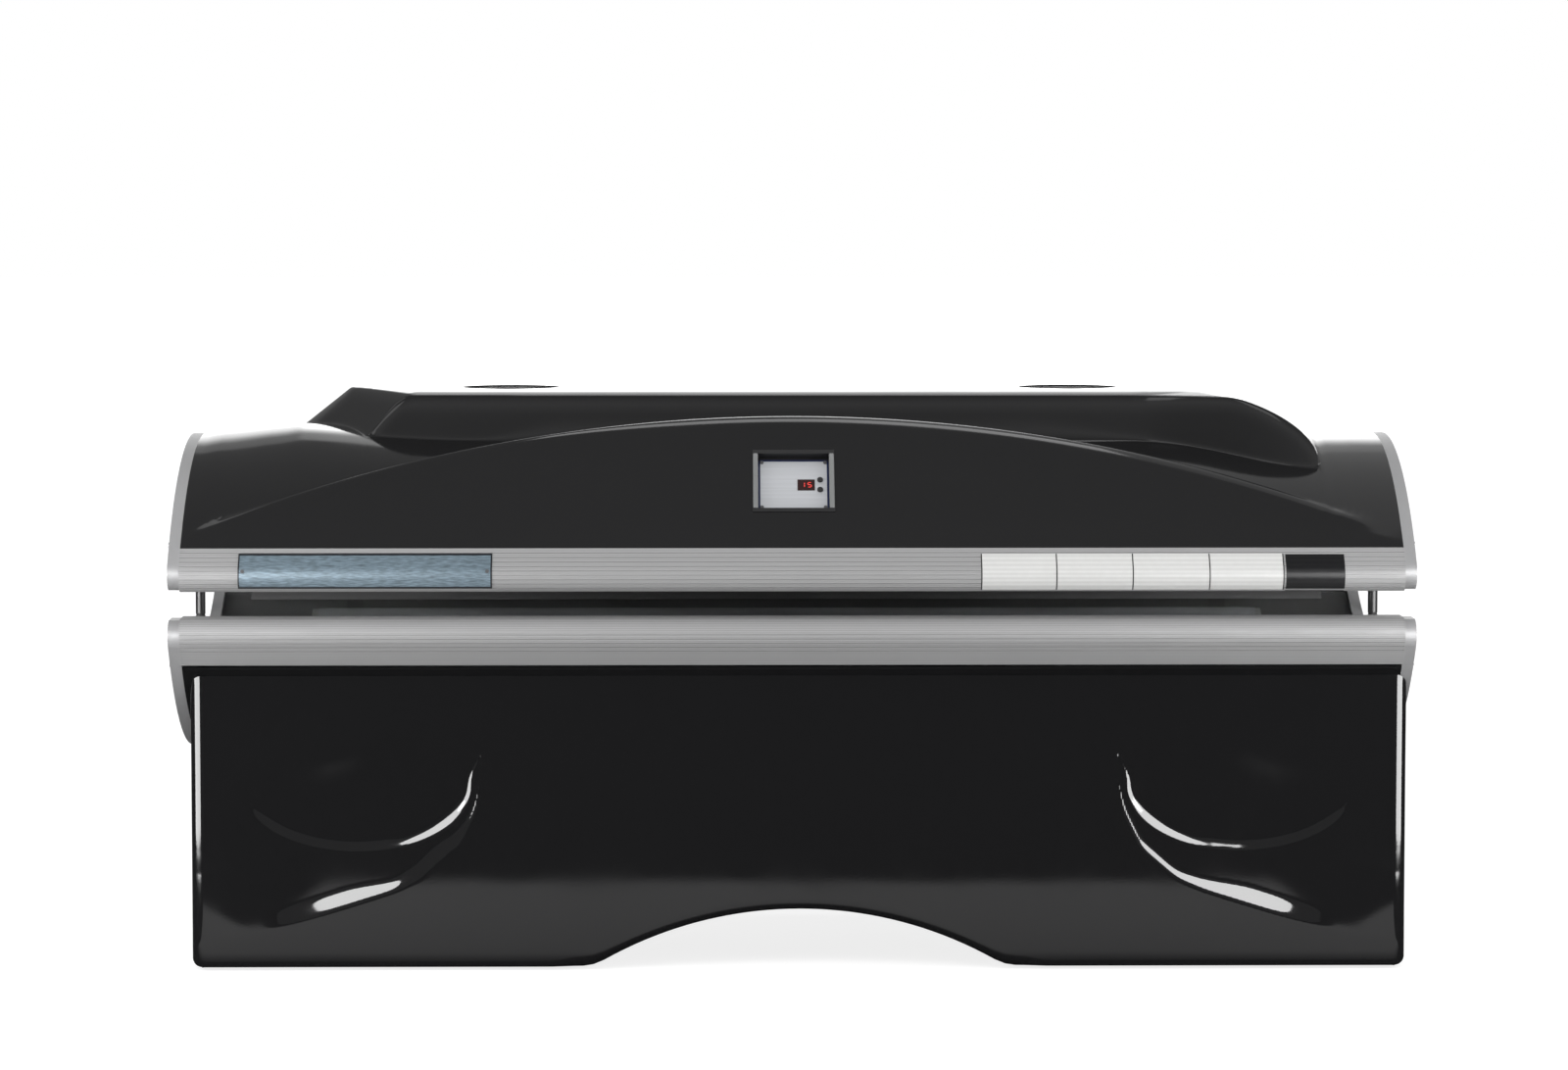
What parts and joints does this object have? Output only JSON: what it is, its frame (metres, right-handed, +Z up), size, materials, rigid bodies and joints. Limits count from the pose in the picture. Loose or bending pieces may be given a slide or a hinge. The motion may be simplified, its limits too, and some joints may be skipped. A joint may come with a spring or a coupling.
{
  "type": "tanning bed",
  "caption": "Clamshell tanning bed with a fixed lamp bench, a hinged lamp canopy with a raised vented hood, ribbed silver rails and a gloss black sculpted base.",
  "frame": {"origin": "bottom centre of the bounding box, on the floor under the middle of the bed", "axes": "+X along the bed to the right as seen from its open front, -Y towards the user, +Z up"},
  "size_m": [2.214, 0.9025, 1.003],
  "materials": {
    "black_gloss": "high gloss black moulding",
    "silver_plastic": "satin silver grey moulding",
    "satin_aluminium": "satin anodised extrusion",
    "clear_acrylic": "clear acrylic",
    "bright_reflector": "bright reflector sheet",
    "lamp_glass": "white coated lamp tube",
    "holder_white": "white moulding",
    "zinc_sheet": "zinc plated sheet",
    "ballast_paint": "black painted cans",
    "frame_paint": "black powder coat",
    "black_plastic": "matt black moulding",
    "plate_print": "light grey faced plate",
    "window_dark": "dark red display window",
    "board_green": "circuit board",
    "nameplate_blue": "textured blue grey plate",
    "screw_steel": "plated steel",
    "spring_black": "black enamel",
    "rod_chrome": "hard chrome",
    "foot_rubber": "black rubber"
  },
  "bodies": {
    "bench": {"base_cross_rails": "frame_paint", "base_front_panel": "black_gloss", "base_posts": "frame_paint", "base_side_panel_left": "black_gloss", "base_side_panel_right": "black_gloss", "bench_acrylic": "clear_acrylic", "bench_ballast_tray": "zinc_sheet", "bench_ballasts": "ballast_paint", "bench_belly_pan": "black_gloss", "bench_cap_screws": "screw_steel", "bench_end_cap_left": "silver_plastic", "bench_end_cap_right": "silver_plastic", "bench_front_rail": "satin_aluminium", "bench_hinge_clevises": "frame_paint", "bench_lampholders": "holder_white", "bench_lamps": "lamp_glass", "bench_rear_rail": "satin_aluminium", "bench_reflector": "bright_reflector", "bench_saddles": "frame_paint", "bench_spring_studs": "screw_steel", "hinge_pins": "screw_steel", "levelling_feet": "foot_rubber", "mains_gland": "black_plastic", "mains_junction_box": "black_plastic"},
    "canopy": {"canopy_acrylic": "clear_acrylic", "canopy_ballast_tray": "zinc_sheet", "canopy_ballasts": "ballast_paint", "canopy_cap_screws": "screw_steel", "canopy_end_cap_left": "silver_plastic", "canopy_end_cap_right": "silver_plastic", "canopy_front_rail": "satin_aluminium", "canopy_hinge_knuckles": "frame_paint", "canopy_lampholders": "holder_white", "canopy_lamps": "lamp_glass", "canopy_rear_rail": "satin_aluminium", "canopy_reflector": "bright_reflector", "canopy_ribs": "zinc_sheet", "canopy_shell": "black_gloss", "canopy_spring_studs": "screw_steel", "control_bezel": "black_plastic", "control_plate": "plate_print", "display_window": "window_dark", "fan_guard_left": "black_plastic", "fan_guard_right": "black_plastic", "fan_housing_left": "black_plastic", "fan_housing_right": "black_plastic", "nameplate": "nameplate_blue", "panel_screws": "screw_steel", "timer_board": "board_green"},
    "button_lower": {"button_lower": "black_plastic"},
    "button_upper": {"button_upper": "black_plastic"},
    "fan_rotor_left": {"fan_rotor_left": "black_plastic"},
    "fan_rotor_right": {"fan_rotor_right": "black_plastic"},
    "gas_spring_cylinder_left": {"gas_spring_cylinder_left": "spring_black"},
    "gas_spring_cylinder_right": {"gas_spring_cylinder_right": "spring_black"},
    "gas_spring_rod_left": {"gas_spring_rod_left": "rod_chrome"},
    "gas_spring_rod_right": {"gas_spring_rod_right": "rod_chrome"}
  },
  "joints": [
    {"name": "canopy_hinge", "type": "hinge", "parent": "bench", "child": "canopy", "pos_m": [0, 0.42, 0.644], "axis": [-1, 0, 0], "range_deg": [0, 40]},
    {"name": "gas_spring_tilt_left", "type": "hinge", "parent": "bench", "child": "gas_spring_rod_left", "pos_m": [-1.098, 0.27, 0.54], "axis": [-1, 0, 0], "range_deg": [0, 20.8]},
    {"name": "gas_spring_stroke_left", "type": "slide", "parent": "gas_spring_rod_left", "child": "gas_spring_cylinder_left", "axis": [0, 0, 1], "range_m": [0, 0.0922]},
    {"name": "fan_spin_left", "type": "hinge", "parent": "canopy", "child": "fan_rotor_left", "pos_m": [-0.508, 0.062, 0.96], "axis": [0, 0, 1], "continuous": true},
    {"name": "gas_spring_tilt_right", "type": "hinge", "parent": "bench", "child": "gas_spring_rod_right", "pos_m": [1.098, 0.27, 0.54], "axis": [-1, 0, 0], "range_deg": [0, 20.8]},
    {"name": "gas_spring_stroke_right", "type": "slide", "parent": "gas_spring_rod_right", "child": "gas_spring_cylinder_right", "axis": [0, 0, 1], "range_m": [0, 0.0922]},
    {"name": "fan_spin_right", "type": "hinge", "parent": "canopy", "child": "fan_rotor_right", "pos_m": [0.508, 0.062, 0.96], "axis": [0, 0, 1], "continuous": true},
    {"name": "button_press_upper", "type": "slide", "parent": "canopy", "child": "button_upper", "axis": [0, 0.7431, -0.6691], "range_m": [0, 0.0012], "stiffness_N_per_m": 400, "springref_m": -0.0008},
    {"name": "button_press_lower", "type": "slide", "parent": "canopy", "child": "button_lower", "axis": [0, 0.7431, -0.6691], "range_m": [0, 0.0012], "stiffness_N_per_m": 400, "springref_m": -0.0008}
  ],
  "couplings": [
    {"joint": "gas_spring_tilt_left", "follows": "canopy_hinge", "ratio": 0.519},
    {"joint": "gas_spring_stroke_left", "follows": "canopy_hinge", "m_per_rad": 0.13185},
    {"joint": "gas_spring_tilt_right", "follows": "canopy_hinge", "ratio": 0.519},
    {"joint": "gas_spring_stroke_right", "follows": "canopy_hinge", "m_per_rad": 0.13185}
  ]
}
